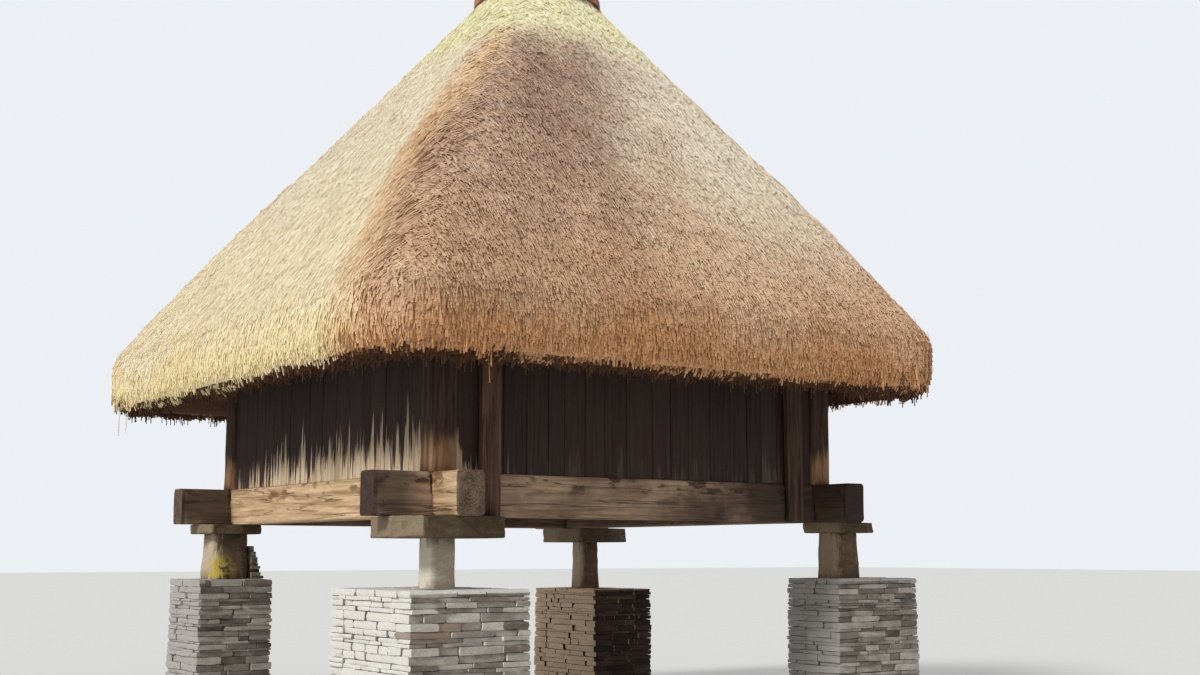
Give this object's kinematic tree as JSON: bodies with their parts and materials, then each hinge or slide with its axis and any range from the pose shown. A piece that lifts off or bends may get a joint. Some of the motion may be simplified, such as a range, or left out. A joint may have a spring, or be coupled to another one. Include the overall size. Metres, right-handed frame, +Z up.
{
  "type": "raised granary",
  "caption": "Square timber granary raised on dry-stone piers with flat staddle slabs, under a steep rounded thatched roof with a clay cap.",
  "frame": {"origin": "on the ground, under the middle of the whole plan, piers and eaves included", "axes": "+X along the front to the right, +Y from the front to the back, +Z up"},
  "size_m": [5.88, 6.34, 7.2],
  "materials": {
    "dry_stone": "thin-coursed grey schist laid dry, sunlit faces near white",
    "granite": "rough hewn stone with yellow lichen",
    "slate_slab": "split slab with a worn edge",
    "hewn_oak": "hewn beam, tan and weathered, with checks and gouges",
    "oak_post": "dark weathered oak",
    "dark_boards": "blackened boards, worn pale at their feet",
    "batten_oak": "brown weathered batten",
    "roof_pole": "peeled pole",
    "thatch": "rye straw thatch, golden at the eaves, purple-brown in patches",
    "clay_cap": "dull reddish clay"
  },
  "bodies": {
    "root": {"back_left_corner_post": "oak_post", "back_left_hip": "roof_pole", "back_left_pier": "dry_stone", "back_left_staddle_post": "granite", "back_left_staddle_slab": "slate_slab", "back_plate": "oak_post", "back_rafters": "roof_pole", "back_right_corner_post": "oak_post", "back_right_hip": "roof_pole", "back_right_pier": "dry_stone", "back_right_staddle_post": "granite", "back_right_staddle_slab": "slate_slab", "back_sill": "hewn_oak", "back_thatch": "thatch", "back_wall_left": "dark_boards", "back_wall_right": "dark_boards", "door_jambs": "oak_post", "door_leaf": "dark_boards", "floor_boards": "dark_boards", "floor_joists": "oak_post", "front_batten_left": "batten_oak", "front_batten_right": "batten_oak", "front_left_corner_post": "oak_post", "front_left_hip": "roof_pole", "front_left_pier": "dry_stone", "front_left_staddle_post": "granite", "front_left_staddle_slab": "slate_slab", "front_plate": "oak_post", "front_rafters": "roof_pole", "front_right_corner_post": "oak_post", "front_right_hip": "roof_pole", "front_right_pier": "dry_stone", "front_right_staddle_post": "granite", "front_right_staddle_slab": "slate_slab", "front_sill": "hewn_oak", "front_thatch": "thatch", "front_wall": "dark_boards", "king_block": "roof_pole", "left_plate": "oak_post", "left_rafters": "roof_pole", "left_sill": "hewn_oak", "left_thatch": "thatch", "left_wall": "dark_boards", "peak_cap": "clay_cap", "right_plate": "oak_post", "right_rafters": "roof_pole", "right_sill": "hewn_oak", "right_thatch": "thatch", "right_wall": "dark_boards", "thatch_crown": "thatch"}
  },
  "joints": []
}
